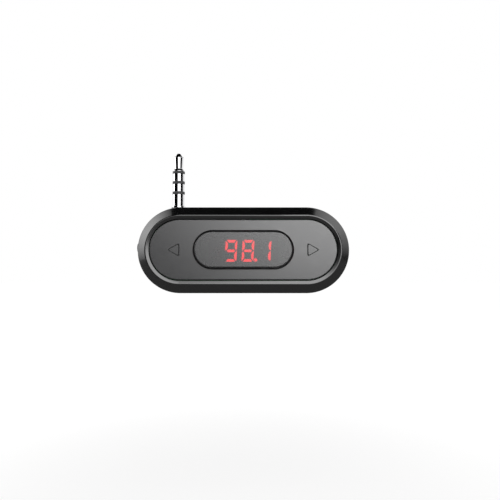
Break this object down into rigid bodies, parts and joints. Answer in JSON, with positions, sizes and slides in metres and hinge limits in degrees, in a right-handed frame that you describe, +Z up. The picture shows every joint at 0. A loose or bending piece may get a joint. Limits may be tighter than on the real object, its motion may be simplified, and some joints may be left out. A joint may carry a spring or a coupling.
{
  "type": "car fm transmitter",
  "caption": "Slim car FM transmitter with a rounded case, folding audio plug, rocker tuning plate, lit display key, slide switch and charging socket.",
  "frame": {"origin": "middle of the case's flat back face", "axes": "+X to the right end with the charging socket, -Y out of the display side, +Z up along the raised plug"},
  "size_m": [0.0597, 0.0128, 0.0399],
  "materials": {
    "case_rear": "satin black moulding",
    "case_front": "glossy black moulding",
    "plate": "satin dark grey",
    "window": "smoked, glossy",
    "inner_plastic": "matt black",
    "spring_steel": "bright",
    "tinned_metal": "tinned",
    "led_lit": "lit red diffuser",
    "led_dark": "unlit red diffuser",
    "board": "solder mask",
    "cell_foil": "pouch foil",
    "foam_tape": "foam tape",
    "red_wire": "wire sleeve",
    "green_wire": "wire sleeve",
    "copper_wire": "enamelled",
    "chip": "moulded package",
    "ferrite": "sintered",
    "ceramic": "ceramic",
    "socket_metal": "bright plated steel",
    "gold_contact": "gold plated",
    "knob": "fine matt black",
    "swivel_plastic": "black moulding",
    "plug_metal": "nickel plated brass",
    "plug_insulator": "black insulator"
  },
  "bodies": {
    "case": {"rear_shell": "case_rear", "front_shell": "case_front", "window_guide": "inner_plastic", "window_domes": "spring_steel", "rocker_domes": "spring_steel", "display_module": "inner_plastic", "display_pins": "tinned_metal", "segments_lit": "led_lit", "segments_dark": "led_dark", "main_board": "board", "board_screws": "spring_steel", "battery_cell": "cell_foil", "battery_tape": "foam_tape", "battery_leads": "red_wire", "antenna_wire": "copper_wire", "fm_chip": "chip", "control_chip": "chip", "charge_chip": "chip", "crystal": "tinned_metal", "coil": "ferrite", "resistors": "chip", "capacitors": "ceramic", "usb_shell": "socket_metal", "usb_tongue": "inner_plastic", "usb_contacts": "gold_contact", "switch_body": "tinned_metal", "switch_terminals": "tinned_metal", "hinge_pin": "spring_steel", "detent_spring": "spring_steel", "plug_leads": "green_wire"},
    "plug": {"plug_swivel": "swivel_plastic", "plug_tip": "plug_metal", "plug_ring_front": "plug_metal", "plug_ring_rear": "plug_metal", "plug_sleeve": "plug_metal", "plug_insulators": "plug_insulator"},
    "rocker": {"rocker_plate": "plate"},
    "window": {"display_window": "window"},
    "switch": {"switch_lever": "inner_plastic", "switch_knob": "knob"}
  },
  "joints": [
    {"name": "plug_fold", "type": "hinge", "parent": "case", "child": "plug", "pos_m": [-0.01865, -0.0055, 0.0099], "axis": [0, 1, 0], "range_deg": [0, 90], "deforming": ["detent_spring", "plug_leads"]},
    {"name": "rocker_tilt", "type": "hinge", "parent": "case", "child": "rocker", "pos_m": [0, -0.01055, 0], "axis": [0, 0, 1], "range_deg": [-1, 1], "stiffness_Nm_per_rad": 0.5, "deforming": ["rocker_domes"]},
    {"name": "window_press", "type": "slide", "parent": "case", "child": "window", "axis": [0, 1, 0], "range_m": [0, 0.0004], "stiffness_N_per_m": 1500, "springref_m": -0.0002, "deforming": ["window_domes"]},
    {"name": "switch_slide", "type": "slide", "parent": "case", "child": "switch", "axis": [0, 0, -1], "range_m": [0, 0.0023]}
  ]
}
